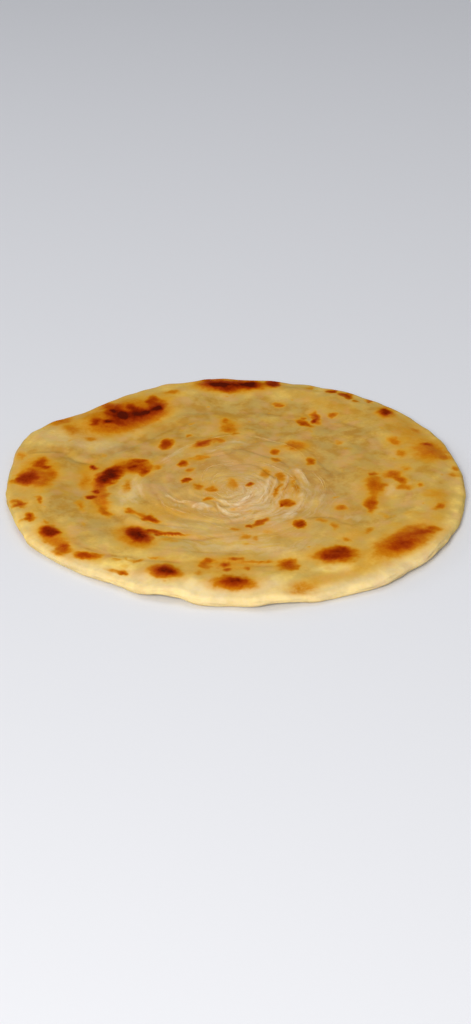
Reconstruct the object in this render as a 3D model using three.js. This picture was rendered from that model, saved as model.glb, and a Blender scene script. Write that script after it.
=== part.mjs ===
// A paratha: a round layered griddle bread about 19 cm across and half a centimetre thick.
// The dough was coiled like a snail and rolled flat, so a spiral of creased turns runs from the
// middle out to a puffed rim. Fine pleats show round the middle, blisters stand on the crest of the
// turns, and the edge waves a little off the surface that the bread lies on.
// Millimetres, +Z up, -Y towards the viewer. The origin is the middle of the underside.
import * as THREE from "three";

// Driving dimensions, in millimetres
const breadRadius = 95.2;
const doughThickness = 4.2;
const edgeRound = 3.4;
const rimRoll = { height: 1.3, at: 0.86, width: 0.12 };
const middleKnot = { height: 0.7, width: 26 };
const restingShare = 0.66;

// The coil's heart, and how far the middle of its turns sways aside half way out to the rim.
// The last turn ends in a tail at the rim, in a direction in degrees, with its seam at a radius.
// Going round from there the turns shrink, by the growth each time. The last one rises no further
// than a share of its lip. Between two seams lie pleats, so many to a turn, which fade outwards.
const coil = {
  heartX: 2,
  heartY: -12,
  swayX: -6,
  swayY: 3,
  tailAt: 168,
  tailRadius: 82,
  growth: 1.47,
  lastRise: 0.6,
  lip: 0.75,
  pleats: 2,
  pleatDepth: 0.5,
  pleatReach: 40,
};

// Where the outline bulges out or is pressed in: direction in degrees, depth and width in degrees.
const outlineSwells = [
  { at: -48, by: 3.2, wide: 28 },
  { at: -122, by: -1.8, wide: 25 },
  { at: 128, by: -2.8, wide: 16 },
  { at: 139, by: -1.8, wide: 7 },
  { at: 158, by: 2.3, wide: 14 },
  { at: 50, by: 1.2, wide: 25 },
  { at: 76, by: -1.2, wide: 4 },
  { at: 86, by: -1.2, wide: 4 },
];

// Where the rim waves up off the surface: direction in degrees, height and width in degrees.
const rimLifts = [
  { at: -81, by: 1.7, wide: 6 },
  { at: -107, by: 1.9, wide: 6 },
  { at: -122, by: 0.6, wide: 5 },
  { at: -40, by: 1.2, wide: 16 },
  { at: 5, by: 0.9, wide: 20 },
  { at: 94, by: 1.5, wide: 12 },
  { at: 155, by: 1.8, wide: 14 },
  { at: 200, by: 0.9, wide: 16 },
];

// Slow swells of the whole sheet: height, wavelength, direction in degrees and phase in degrees.
const sheetSwells = [
  { height: 0.3, length: 62, towards: 25, phase: 40 },
  { height: 0.26, length: 41, towards: 100, phase: 200 },
  { height: 0.2, length: 29, towards: 160, phase: 310 },
  { height: 0.14, length: 21, towards: 65, phase: 120 },
];

// The largest blisters, and last the puffed fold above the coil's tail: place, length, width,
// turn in degrees and height.
const blisters = [
  { x: -48, y: 58, long: 34, wide: 24, turn: 35, high: 0.9 },
  { x: -2, y: 87, long: 30, wide: 11, turn: -3, high: 0.8 },
  { x: -85, y: 3, long: 20, wide: 15, turn: 100, high: 0.8 },
  { x: -52, y: 1, long: 17, wide: 11, turn: 60, high: 0.8 },
  { x: -42, y: 9, long: 13, wide: 11, turn: 0, high: 0.5 },
  { x: -39, y: -48, long: 17, wide: 12, turn: -42, high: 0.8 },
  { x: -74, y: -47, long: 12, wide: 9, turn: -62, high: 0.7 },
  { x: -58, y: -64, long: 12, wide: 8, turn: -15, high: 0.6 },
  { x: -27, y: -76, long: 14, wide: 10, turn: -20, high: 0.8 },
  { x: -2, y: -84, long: 18, wide: 11, turn: -3, high: 0.8 },
  { x: 39, y: -62, long: 18, wide: 12, turn: 8, high: 0.9 },
  { x: 67, y: -53, long: 30, wide: 15, turn: 39, high: 1.0 },
  { x: 67, y: 60, long: 11, wide: 9, turn: 100, high: 0.6 },
  { x: 83, y: 22, long: 17, wide: 14, turn: 100, high: 0.6 },
  { x: 57, y: -14, long: 34, wide: 9, turn: 92, high: 0.5 },
  { x: -74, y: 31, long: 44, wide: 20, turn: -32, high: 0.6 },
];

// Mesh fineness: ring spacing on the top grows from the middle to the rim.
const topStep = { middle: 1.6, rim: 2.9, chordShare: 1.75 };
const edgeAngles = [62, 38, 16, -8, -32, -60];
const undersideShares = [0.93, 0.86, 0.79, 0.72];

const radians = (degrees) => (degrees * Math.PI) / 180;
const bell = (x, width) => Math.exp(-((x / width) ** 2));
const degreesApart = (a, b) => ((((a - b + 180) % 360) + 360) % 360) - 180;
const fraction = (x) => x - Math.floor(x);

function smoothStep(low, high, x) {
  const t = Math.min(1, Math.max(0, (x - low) / (high - low)));
  return t * t * (3 - 2 * t);
}

const bumpsAround = (bumps, degrees) =>
  bumps.reduce((sum, bump) => sum + bump.by * bell(degreesApart(degrees, bump.at), bump.wide), 0);

const outlineAt = (degrees) => breadRadius + bumpsAround(outlineSwells, degrees);

// How far the underside stands off the surface: nothing in the middle, the rim's waves at the edge.
function undersideHeight(share, degrees) {
  return bumpsAround(rimLifts, degrees) * smoothStep(restingShare, 1, share) ** 2;
}

// Each turn of the coil rises outwards to a lip and drops at its seam. Finer pleats follow it.
function coilRelief(x, y) {
  const reach = Math.min(1, Math.hypot(x, y) / breadRadius);
  const inwards = (1 - reach) ** 2;
  const midway = 4 * reach * (1 - reach);
  const fromMiddleX = x - coil.heartX * inwards - coil.swayX * midway;
  const fromMiddleY = y - coil.heartY * inwards - coil.swayY * midway;
  const radius = Math.max(2, Math.hypot(fromMiddleX, fromMiddleY));
  const direction = Math.atan2(fromMiddleY, fromMiddleX) - radians(coil.tailAt);
  const turns = Math.log(radius / coil.tailRadius) / Math.log(coil.growth) + fraction(direction / (2 * Math.PI));
  const across = turns > 0 ? Math.min(turns, coil.lastRise) : fraction(turns);
  const seam = across * (1 - across ** 8) - 0.4;
  const pleat = Math.abs(Math.sin(Math.PI * coil.pleats * turns)) - 0.6;
  const seamHeight = coil.lip * smoothStep(6, 26, radius) * (1 - 0.6 * smoothStep(66, 92, radius));
  return seamHeight * seam + coil.pleatDepth * bell(radius, coil.pleatReach) * smoothStep(1, 6, radius) * pleat;
}

function swellRelief(x, y) {
  return sheetSwells.reduce((sum, swell) => {
    const along = x * Math.cos(radians(swell.towards)) + y * Math.sin(radians(swell.towards));
    return sum + swell.height * Math.sin((2 * Math.PI * along) / swell.length + radians(swell.phase));
  }, 0);
}

// A blister is a smooth oval dome.
function blisterRelief(x, y) {
  return blisters.reduce((sum, blister) => {
    const turn = radians(blister.turn);
    const along = (x - blister.x) * Math.cos(turn) + (y - blister.y) * Math.sin(turn);
    const aside = (y - blister.y) * Math.cos(turn) - (x - blister.x) * Math.sin(turn);
    return sum + blister.high * Math.exp(-(((2 * along) / blister.long) ** 2) - ((2 * aside) / blister.wide) ** 2);
  }, 0);
}

function thicknessAt(x, y, share) {
  const radius = Math.hypot(x, y);
  return (
    doughThickness +
    rimRoll.height * bell(share - rimRoll.at, rimRoll.width) +
    middleKnot.height * bell(radius, middleKnot.width) +
    coilRelief(x, y) +
    swellRelief(x, y) * (1 - 0.5 * smoothStep(0.8, 1, share)) +
    blisterRelief(x, y)
  );
}

// A point of the top or the underside, at a share of the way out in one direction.
function sheetPoint(share, degrees, onTop) {
  const radius = share * (outlineAt(degrees) - edgeRound);
  const x = radius * Math.cos(radians(degrees));
  const y = radius * Math.sin(radians(degrees));
  const outShare = radius / outlineAt(degrees);
  const low = undersideHeight(outShare, degrees);
  return new THREE.Vector3(x, y, onTop ? low + thicknessAt(x, y, outShare) : low);
}

// A point of the rounded edge. The angle runs from 90, level with the top, to -90, at the underside.
function edgePoint(angle, degrees) {
  const top = sheetPoint(1, degrees, true);
  const under = sheetPoint(1, degrees, false);
  const outwards = edgeRound * Math.cos(radians(angle));
  return new THREE.Vector3(
    top.x + outwards * Math.cos(radians(degrees)),
    top.y + outwards * Math.sin(radians(degrees)),
    (top.z + under.z) / 2 + ((top.z - under.z) / 2) * Math.sin(radians(angle)),
  );
}

const points = [];
const triangles = [];

// A ring of points, evenly spread in angle, as the numbers of its points.
function addRing(count, pointAt) {
  return Array.from({ length: count }, (_, i) => points.push(pointAt((360 * i) / count)) - 1);
}

// Joins two rings of any two counts with a band of triangles, by whichever next point comes first.
function joinRings(inner, outer) {
  let i = 0;
  let j = 0;
  while (i < inner.length || j < outer.length) {
    const a = inner[i % inner.length];
    const b = outer[j % outer.length];
    const innerIsNext = j >= outer.length || (i < inner.length && (i + 1) * outer.length <= (j + 1) * inner.length);
    if (innerIsNext) {
      i += 1;
      triangles.push(a, b, inner[i % inner.length]);
    } else {
      j += 1;
      triangles.push(a, b, outer[j % outer.length]);
    }
  }
}

// Closes a ring with a fan round one middle point.
function closeRing(ring, middle, facingUp) {
  const centre = points.push(middle) - 1;
  ring.forEach((a, i) => {
    const b = ring[(i + 1) % ring.length];
    triangles.push(centre, ...(facingUp ? [a, b] : [b, a]));
  });
}

// The shares of the way out at which the top has its rings.
function topRingShares() {
  const reach = breadRadius - edgeRound;
  const shares = [];
  let radius = topStep.middle;
  while (radius < reach) {
    shares.push(radius / reach);
    radius += topStep.middle + (topStep.rim - topStep.middle) * smoothStep(0.25, 0.75, radius / reach);
  }
  return shares;
}

function pointsOnRing(share) {
  const step = topStep.middle + (topStep.rim - topStep.middle) * smoothStep(0.25, 0.75, share);
  return Math.max(10, Math.round((2 * Math.PI * share * breadRadius) / (step * topStep.chordShare)));
}

function makeBread() {
  const topRings = topRingShares().map((share) =>
    addRing(pointsOnRing(share), (degrees) => sheetPoint(share, degrees, true)),
  );
  const rimCount = pointsOnRing(1);
  const rimRing = addRing(rimCount, (degrees) => sheetPoint(1, degrees, true));
  const edgeRings = edgeAngles.map((angle) => addRing(rimCount, (degrees) => edgePoint(angle, degrees)));
  const underRings = [1, ...undersideShares, restingShare].map((share) =>
    addRing(rimCount, (degrees) => sheetPoint(share, degrees, false)),
  );
  closeRing(topRings[0], sheetPoint(0, 0, true), true);
  const rings = [...topRings, rimRing, ...edgeRings, ...underRings];
  rings.slice(1).forEach((ring, i) => joinRings(rings[i], ring));
  closeRing(underRings.at(-1), new THREE.Vector3(0, 0, 0), false);

  const geometry = new THREE.BufferGeometry().setFromPoints(points);
  geometry.setIndex(triangles);
  geometry.computeBoundingBox();
  const middle = geometry.boundingBox.getCenter(new THREE.Vector3());
  geometry.translate(-middle.x, -middle.y, -geometry.boundingBox.min.z);
  geometry.computeVertexNormals();
  return geometry;
}

const bakedDough = new THREE.MeshStandardMaterial({ color: 0xd2ae62, roughness: 0.6, metalness: 0 });
const paratha = new THREE.Mesh(makeBread(), bakedDough);
paratha.name = "paratha";

const bread = new THREE.Group();
bread.add(paratha);
export default bread;
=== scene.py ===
import math

import bpy
import numpy as np
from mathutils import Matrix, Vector


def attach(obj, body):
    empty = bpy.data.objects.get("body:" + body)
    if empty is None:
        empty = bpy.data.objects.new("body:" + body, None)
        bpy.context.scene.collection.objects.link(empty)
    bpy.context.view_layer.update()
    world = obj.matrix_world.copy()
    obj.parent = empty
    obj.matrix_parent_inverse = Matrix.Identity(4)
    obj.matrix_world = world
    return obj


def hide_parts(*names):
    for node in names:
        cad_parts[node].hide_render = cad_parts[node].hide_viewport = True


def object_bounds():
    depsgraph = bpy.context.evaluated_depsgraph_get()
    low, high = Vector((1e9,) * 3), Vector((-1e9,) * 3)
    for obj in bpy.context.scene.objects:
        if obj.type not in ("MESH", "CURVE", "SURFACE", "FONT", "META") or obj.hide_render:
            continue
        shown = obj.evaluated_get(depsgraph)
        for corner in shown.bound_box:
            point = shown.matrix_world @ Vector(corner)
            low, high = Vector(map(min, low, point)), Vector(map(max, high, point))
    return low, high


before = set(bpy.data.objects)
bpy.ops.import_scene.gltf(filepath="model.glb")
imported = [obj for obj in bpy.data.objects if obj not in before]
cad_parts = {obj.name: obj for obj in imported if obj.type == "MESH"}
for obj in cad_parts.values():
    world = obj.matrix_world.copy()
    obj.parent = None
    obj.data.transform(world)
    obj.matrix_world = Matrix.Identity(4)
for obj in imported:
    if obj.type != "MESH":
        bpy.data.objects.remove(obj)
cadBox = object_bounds()
print("frame loaded, the solid bread in mm:", [round(1000 * side, 1) for side in cadBox[1] - cadBox[0]])

mm = 0.001  # shapes are worked out in millimetres and put into the meshes in metres


# Small shape functions, all on whole arrays

def bell(x, width):  # 1 at x = 0, falling to 1/e at one width on either side
    return np.exp(-(x / width) ** 2)


def smoothStep(low, high, x):  # 0 below low, 1 above high, t * t * (3 - 2 * t) between them
    t = np.clip((x - low) / (high - low), 0, 1)
    return t * t * (3 - 2 * t)


def ripples(x, y, length, seed, waves=18):
    # a sum of sines in random directions, each of about the wanted length, mostly within -1 and 1
    draw = np.random.default_rng(seed)
    total = np.zeros(np.shape(x))
    for towards, stretch, phase in draw.uniform((0, 0.7, 0), (math.pi, 1.45, 2 * math.pi), (waves, 3)):
        along = x * math.cos(towards) + y * math.sin(towards)
        total = total + np.sin(2 * math.pi * along / (length * stretch) + phase)
    return total / math.sqrt(waves / 1.6)


def rippled(x, y, kinds):  # ripples of several kinds added up, each with its length, height and seed
    return sum(high * ripples(x, y, length, seed) for length, high, seed in kinds)


def wavered(x, y, waver):  # the places shifted a little to and fro, so that what is drawn on them wavers
    length, far, seed = waver
    return x + far * ripples(x, y, length, seed), y + far * ripples(x, y, length, seed + 1)


def polar(radius, degrees):  # x and y of a distance and a direction
    return radius * np.cos(np.radians(degrees)), radius * np.sin(np.radians(degrees))


def ovalDistance(x, y, oval):
    # squared distance from an oval's middle, 1 on its outline:
    # (along / half length)^2 + (aside / half width)^2
    middleX, middleY, long, wide, turn = oval[:5]
    turn = math.radians(turn)
    along = (x - middleX) * math.cos(turn) + (y - middleY) * math.sin(turn)
    aside = (y - middleY) * math.cos(turn) - (x - middleX) * math.sin(turn)
    return (2 * along / long) ** 2 + (2 * aside / wide) ** 2


def smoothPath(points, steps=14):
    # a Catmull-Rom curve through the points, with this many steps between two of them
    p = np.array(points, float)
    p = np.vstack([2 * p[0] - p[1], p, 2 * p[-1] - p[-2]])
    t = np.linspace(0, 1, steps, endpoint=False)[:, None]
    spans = []
    for a, b, c, d in zip(p[:-3], p[1:-2], p[2:-1], p[3:]):
        square = 2 * a - 5 * b + 4 * c - d
        cube = 3 * b - a - 3 * c + d
        spans.append(0.5 * (2 * b + (c - a) * t + square * t ** 2 + cube * t ** 3))
    return np.vstack([*spans, p[-2:-1]])


def added(name, data):  # a new object in the scene
    thing = bpy.data.objects.new(name, data)
    bpy.context.scene.collection.objects.link(thing)
    return thing


def meshPiece(name, points, faces, marks):
    # a mesh from points in mm, which it centres on the outline's middle, and lists of faces, with each named
    # mark as one number for every point
    mesh = bpy.data.meshes.new(name)
    allFaces = [face for group in faces for face in np.asarray(group).tolist()]
    mesh.from_pydata((points - (*middle, 0)) * mm, [], allFaces)
    mesh.shade_smooth()
    for mark, values in marks.items():
        mesh.attributes.new(mark, "FLOAT", "POINT").data.foreach_set("value", np.asarray(values, np.float32))
    return added(name, mesh)


# The bread's form, in mm and degrees: the sizes of its solid, with a crisper edge, pleats that open to one
# side and the fine relief that only the dressed bread has

bread = {
    "radius": 95.2,
    "thickness": 4.2,
    "edgeRound": 2.8,
    "edgeTaper": {"by": 0.8, "at": (0.88, 0.97)},  # the dressed bread gets thinner at its very edge
    "edgeFolds": {"depth": 0.13, "most": 1.1, "length": 13, "seed": 93},
    "rimRoll": {"height": 1.3, "at": 0.86, "width": 0.12},
    "middleKnot": {"height": 0.7, "width": 26},
    "restingShare": 0.66,
    "coil": {
        "heart": (2, -12), "sway": (-6, 3), "tailAt": 168, "tailRadius": 82, "growth": 1.47,
        "lastRise": 0.6, "lip": 0.75, "lipGrows": (6, 26), "lipFades": (66, 92), "lipLoss": 0.6,
        "pleats": 2, "pleatDepth": 0.18, "pleatReach": 40, "pleatsGrow": (1, 6),
        "opensTo": -35, "leastOpen": 0.3,
        "waver": (26, 0.9, 31),  # length, distance and seed
    },
    "outlineSwells": [  # direction in degrees, depth, width in degrees
        (-48, 3.2, 28), (-122, -1.8, 25), (128, -2.8, 16), (139, -1.8, 7), (158, 2.3, 14),
        (50, 1.2, 25), (76, -1.2, 4), (86, -1.2, 4),
    ],
    "edgeNotches": [  # the same, small ones that only the dressed edge has
        (-148, 1.3, 7), (-121, -0.9, 5), (-103, -1.1, 1.8), (-99, 0.5, 3), (-84, 0.5, 4), (-112, 0.4, 3),
        (-66, -0.5, 3), (16, -0.4, 4), (66, -0.4, 3), (171, -0.4, 3), (52, 1.0, 28), (24, 0.7, 10),
        (124, 1.0, 10), (80, 0.9, 3), (93, -1.0, 3.5), (98, 0.8, 2), (110, 1.4, 3), (95, 0.6, 45),
        (160, 0.8, 12), (114, 1.2, 11), (73, 1.0, 10), (50, 0.6, 12), (153, -1.2, 4), (-173, 0.5, 8),
    ],
    "edgeWaves": [(19, 0.2, 15), (8, 0.06, 16)],  # length, depth and seed
    "rimLifts": [
        (-81, 1.7, 6), (-107, 1.9, 6), (-122, 0.6, 5), (-40, 1.2, 16),
        (5, 0.9, 20), (94, 1.5, 12), (155, 1.8, 14), (200, 0.9, 16),
    ],
    "sheetSwells": [(0.3, 62, 25, 40), (0.26, 41, 100, 200), (0.2, 29, 160, 310), (0.14, 21, 65, 120)],
    "blisters": [  # x, y, long, wide, turn in degrees, height
        (-48, 58, 34, 24, 35, 0.9), (-2, 87, 30, 11, -3, 0.8), (-85, 3, 20, 15, 100, 0.8),
        (-52, 1, 17, 11, 60, 0.8), (-42, 9, 13, 11, 0, 0.5), (-39, -48, 17, 12, -42, 0.8),
        (-74, -47, 12, 9, -62, 0.7), (-58, -64, 12, 8, -15, 0.6), (-27, -76, 14, 10, -20, 0.8),
        (-2, -84, 18, 11, -3, 0.8), (39, -62, 18, 12, 8, 0.9), (67, -53, 30, 15, 39, 1.0),
        (67, 60, 11, 9, 100, 0.6), (83, 22, 17, 14, 100, 0.6), (57, -14, 34, 9, 92, 0.5),
        (-74, 31, 44, 20, -32, 0.6),
    ],
    "seams": [  # points, depth, width, how far the left side stands up, and how dark: tan and painted shade
        ([(-93, 20), (-84, 21.5), (-77, 23), (-72, 18.5), (-66, 14), (-60, 13.5), (-55, 19), (-47, 29),
          (-38, 38), (-27, 48), (-14, 55), (0, 59)], 0.7, 2.0, 0.75, 0.5),
        ([(-66, -48), (-60, -57), (-50, -64), (-40, -66.8), (-30, -68.5), (-18, -68.5), (-5, -68.5),
          (8, -69.5), (17, -70.2), (28, -68)], 0.3, 0.9, 0.1, 0.4),
        ([(-58, -6), (-56.5, -18), (-52.5, -27), (-47, -34), (-42, -41)], 0.35, 1.0, 0.15, 0.3),
        ([(-47, -26), (-42, -30), (-36, -35.5), (-30, -38.5), (-22, -40.5), (-12, -41.5)],
         0.35, 0.8, 0.15, 0.3),
        ([(-46, -43), (-38, -45), (-31, -47), (-24, -48.3), (-14, -49), (-4, -48), (4, -46), (12, -42.5)],
         0.4, 0.8, 0.25, 0.35),
        ([(27, -33), (32, -31.2), (38, -32), (43, -36), (47, -42)], 0.3, 1.3, 0.1, 0.4),
        ([(60, 14), (59, 4), (57.5, -8), (55.5, -20), (52, -31), (46, -42), (37, -51)],
         0.3, 1.3, 0.15, 0.15),
        ([(-10, 58), (4, 60), (20, 61), (36, 58), (50, 50), (60, 38), (65, 24), (66, 10)],
         0.25, 2.0, 0.15, 0.15),
        ([(-83, -12), (-80, -26), (-74, -38), (-67, -48), (-60, -57)], 0.25, 1.5, 0.1, 0.2),
        ([(-22, 13), (-16, 17), (-10, 19), (-4, 21), (1, 25.5), (6, 30), (12, 34), (20, 36)],
         0.45, 1.4, 0.2, 0.55),
        ([(-36, 8), (-35, -4), (-33, -14), (-29, -22), (-22, -29)], 0.2, 1.4, 0.1, 0.2),
        ([(-30, 50), (-16, 50), (0, 47), (14, 45)], 0.15, 1.6, 0.1, 0.15),
        ([(42, 14), (45, 4), (44, -8), (40, -18), (34, -27)], 0.2, 1.4, 0.15, 0.2),
        ([(-38, -58), (-22, -60), (-4, -61), (14, -60), (30, -55)], 0.15, 1.0, 0.1, 0.12),
    ],
    "layerArcs": [  # the thin layers' edges round the heart: points, dryness, width and height
        ([(14.5, 1), (14, -5), (13, -12), (11.3, -18), (9.5, -22)], 0.9, 1.0, 0.3),
        ([(17, 0), (17, -6), (15.6, -13), (13.5, -19), (11, -25)], 0.75, 1.0, 0.25),
        ([(21.5, 4), (22, -2), (21, -9), (19, -15), (16, -21)], 0.85, 0.9, 0.25),
        ([(24, 2), (25.2, -4), (24.5, -10), (23, -15)], 0.6, 0.8, 0.2),
        ([(25.5, 9), (28, 4), (29.8, -2), (30.3, -8)], 0.7, 1.2, 0.22),
        ([(29.5, -10), (28.5, -16), (27, -22), (24.5, -28), (21, -33), (16, -37)], 0.55, 1.6, 0.22),
        ([(3.5, -6), (3.5, -11), (1.5, -15), (-2, -17), (-6, -16), (-8.5, -12.5)], 0.6, 0.8, 0.2),
        ([(7, -13), (5.5, -18), (2, -22), (-2, -22.5), (-6, -20.5), (-9.5, -16.5)], 0.95, 1.2, 0.3),
        ([(3, -29.5), (0, -31), (-4, -28.5), (-7, -24), (-9, -18.5)], 0.85, 0.8, 0.25),
        ([(10, -26), (7, -31), (3, -34), (-3, -35)], 0.45, 0.9, 0.2),
        ([(-10.5, -28.5), (-12, -24), (-14, -22.3), (-16.5, -24), (-17, -28)], 0.75, 0.9, 0.2),
        ([(-16, -21.5), (-20, -21), (-24, -19.8), (-27, -16.5), (-29, -12)], 0.5, 0.7, 0.25),
        ([(-18, -30), (-24, -28), (-29, -23), (-32, -16)], 0.25, 0.8, 0.2),
        ([(-8, -9), (-9, -4), (-8, 1), (-5, 5)], 0.3, 0.8, 0.2),
        ([(-13, -6), (-14, 0), (-12, 7), (-7, 11), (0, 13)], 0.2, 0.8, 0.2),
        ([(-31, 12), (-28, 20), (-22, 27), (-14, 33), (-5, 37), (4, 38)], 0.35, 1.6, 0.15),
        ([(4, 38), (12, 36), (20, 31), (27, 24), (31, 17)], 0.15, 1.5, 0.15),
        ([(8, 14), (14, 11), (19, 6), (20, 2)], 0.2, 0.8, 0.2),
        ([(34, 5), (37, -4), (37, -14), (34, -24), (30, -31)], 0.25, 1.4, 0.2),
    ],
    "linesWaver": (8, 0.35, 35),  # how the seams and the arcs waver: length, distance and seed
    "wrinkles": [(15, 0.11, 11), (7, 0.016, 12)],  # length, height and seed
    "undersidePits": {"depth": 0.3, "ripples": [(16, 1, 91), (5, 0.5, 92)]},
    "bubbles": {"count": 120, "reach": 0.94, "size": (2.4, 6.5), "height": (0.04, 0.16), "seed": 21},
    "cells": 256,  # squares across the top, twice those across the underside
    "middleFineness": 0.45,  # how much finer the squares are in the middle than at the rim
    "edgeAngles": (78, 64, 50, 37, 24, 12, 0, -14, -30, -48, -66),
}


def bumpsAround(bumps, degrees):
    # the sum of bells over the direction, each with its height and its width in degrees
    return sum(by * bell((degrees - at + 180) % 360 - 180, wide) for at, by, wide in bumps)


def outlineAt(degrees, detailed=True):
    # the radius and the swells; the detailed outline has small notches too, and waves read off a circle
    out = bread["radius"] + bumpsAround(bread["outlineSwells"], degrees)
    if detailed:
        x, y = polar(bread["radius"], degrees)
        out = out + bumpsAround(bread["edgeNotches"], degrees) + rippled(x, y, bread["edgeWaves"])
    return out


def undersideHeight(share, degrees):  # flat in the middle, the rim's waves towards the edge
    return bumpsAround(bread["rimLifts"], degrees) * smoothStep(bread["restingShare"], 1, share) ** 2


def coilMiddle(reach):
    # the middle of the turns at a share of the way out: the heart for small ones, swaying aside half way
    heart, sway = bread["coil"]["heart"], bread["coil"]["sway"]
    inwards, midway = (1 - reach) ** 2, 4 * reach * (1 - reach)
    return heart[0] * inwards + sway[0] * midway, heart[1] * inwards + sway[1] * midway


def coilTurns(x, y):
    # the distance from the heart, the direction, and the turn:
    # log(distance / tail's distance) / log(growth) + the share of a round since the tail
    coil = bread["coil"]
    middleX, middleY = coilMiddle(np.minimum(1, np.hypot(x, y) / bread["radius"]))
    radius = np.maximum(2, np.hypot(x - middleX, y - middleY))
    direction = np.arctan2(y - middleY, x - middleX)
    around = (direction - math.radians(coil["tailAt"])) / (2 * math.pi)
    return radius, direction, np.log(radius / coil["tailRadius"]) / math.log(coil["growth"]) + around % 1


def coilRelief(x, y):
    # each turn rises outwards to a lip and drops at its seam, with pleats, sqrt(sin^2 + 0.04), in the middle,
    # which are deepest on the side that they open to
    coil = bread["coil"]
    radius, direction, turns = coilTurns(x, y)
    across = np.where(turns > 0, np.minimum(turns, coil["lastRise"]), turns % 1)
    seam = across * (1 - across ** 8) - 0.4
    pleat = np.sqrt(np.sin(math.pi * coil["pleats"] * turns) ** 2 + 0.04) - 0.6
    lipLeft = 1 - coil["lipLoss"] * smoothStep(*coil["lipFades"], radius)
    seamHeight = coil["lip"] * smoothStep(*coil["lipGrows"], radius) * lipLeft
    openSide = smoothStep(-0.4, 0.5, np.cos(direction - math.radians(coil["opensTo"])))
    openness = coil["leastOpen"] + (1 - coil["leastOpen"]) * openSide
    pleatHeight = coil["pleatDepth"] * openness * bell(radius, coil["pleatReach"])
    return seamHeight * seam + pleatHeight * smoothStep(*coil["pleatsGrow"], radius) * pleat


def besideLine(x, y, points, reach):
    # which places are near a line, how far to its left each one is (right is minus), and the share of the
    # line's points that lies behind it
    path = smoothPath(points)
    low, high = path.min(0) - reach, path.max(0) + reach
    near = (x > low[0]) & (x < high[0]) & (y > low[1]) & (y < high[1])
    apart = np.hypot(x[near][:, None] - path[:, 0], y[near][:, None] - path[:, 1])
    closest = apart.argmin(1)
    ahead = np.gradient(path, axis=0)
    ahead = (ahead / np.hypot(*ahead.T)[:, None])[closest]
    left = ahead[:, 0] * (y[near] - path[closest, 1]) - ahead[:, 1] * (x[near] - path[closest, 0])
    ended = (closest == 0) | (closest == len(path) - 1)
    return near, np.where(ended, np.where(left > 0, 1, -1) * apart.min(1), left), closest / (len(path) - 1)


def tapered(along, start):  # from 0 to 1 over a line's start, and back to 0 over its last quarter
    return smoothStep(0, start, along) * (1 - smoothStep(0.75, 1, along))


def seamFields(x, y):
    # relief: -depth * bell(left, width), and on the left a lip that rises at once and fades over 4 widths;
    # tone: how much darker each seam and the dough just right of it are, its own tan and painted groove shade
    relief, tone = np.zeros(np.shape(x)), np.zeros(np.shape(x))
    for points, depth, width, lip, tanAndPaintedShade in bread["seams"]:
        near, left, along = besideLine(x, y, points, 6 * width)
        taper = tapered(along, 0.15)
        onLeft = np.maximum(left, 0)
        rise = lip * (1 - np.exp(-onLeft / (0.5 * width))) * np.exp(-onLeft / (4 * width))
        relief[near] += taper * (rise - depth * bell(left, width))
        # the darker line: partly the dough's tan, partly painted shade in and below the seam's groove
        tone[near] += taper * tanAndPaintedShade * (bell(left, width) + 0.4 * (left < 0) * bell(left, 3 * width))
    return relief, tone


def arcFields(x, y):
    # each arc is a ridge with a gentle inner side, 2 widths, and a steep outer side, half a width, with a
    # groove outside; the ridge is dry and the groove is darker, partly tan and partly painted shade
    relief, dry, tone = np.zeros(np.shape(x)), np.zeros(np.shape(x)), np.zeros(np.shape(x))
    for points, dryness, width, lip in bread["layerArcs"]:
        near, left, along = besideLine(x, y, points, 6 * width)
        taper = tapered(along, 0.2)
        ridge = bell(left, np.where(left < 0, 2.0, 0.5) * width)
        relief[near] += taper * lip * (ridge - 0.45 * bell(left - 1.2 * width, 0.6 * width))
        dry[near] = np.maximum(dry[near], taper * dryness * bell(left + 0.3 * width, width))
        # the groove outside: partly the dough's tan, partly painted shade
        tone[near] += taper * 0.5 * dryness * bell(left - 1.4 * width, 0.8 * width)
    return relief, dry, tone


def bubbleRelief(x, y):  # many low round domes, strewn at random
    bubbles = bread["bubbles"]
    draw = np.random.default_rng(bubbles["seed"])
    out = bread["radius"] * np.sqrt(draw.uniform(0, bubbles["reach"], bubbles["count"]))
    at = draw.uniform(0, 2 * math.pi, bubbles["count"])
    size = draw.uniform(*bubbles["size"], bubbles["count"])
    high = draw.uniform(*bubbles["height"], bubbles["count"])
    relief = np.zeros(np.shape(x))
    for r, a, s, h in zip(out, at, size, high):
        distance = np.hypot(x - r * math.cos(a), y - r * math.sin(a))
        near = distance < 1.6 * s
        relief[near] += h * bell(distance[near], 0.55 * s)
    return relief


def topRelief(x, y, share):
    # the dough's thickness: rim roll, middle knot, coil, swells and blisters as in the solid, then the seams,
    # arcs, wrinkles and bubbles; the swells ease off to a half at the rim
    rim, knot = bread["rimRoll"], bread["middleKnot"]
    height = bread["thickness"] + rim["height"] * bell(share - rim["at"], rim["width"])
    height = height + knot["height"] * bell(np.hypot(x, y), knot["width"])
    height = height + coilRelief(*wavered(x, y, bread["coil"]["waver"]))
    for high, length, towards, phase in bread["sheetSwells"]:
        along = x * math.cos(math.radians(towards)) + y * math.sin(math.radians(towards))
        wave = high * np.sin(2 * math.pi * along / length + math.radians(phase))
        height = height + wave * (1 - 0.5 * smoothStep(0.8, 1, share))
    for blister in bread["blisters"]:
        height = height + blister[5] * np.exp(-ovalDistance(x, y, blister))
    lineX, lineY = wavered(x, y, bread["linesWaver"])
    height = height + seamFields(lineX, lineY)[0] + arcFields(lineX, lineY)[0]
    height = height + rippled(x, y, bread["wrinkles"]) + bubbleRelief(x, y)
    return height - bread["edgeTaper"]["by"] * smoothStep(*bread["edgeTaper"]["at"], share)


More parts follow.
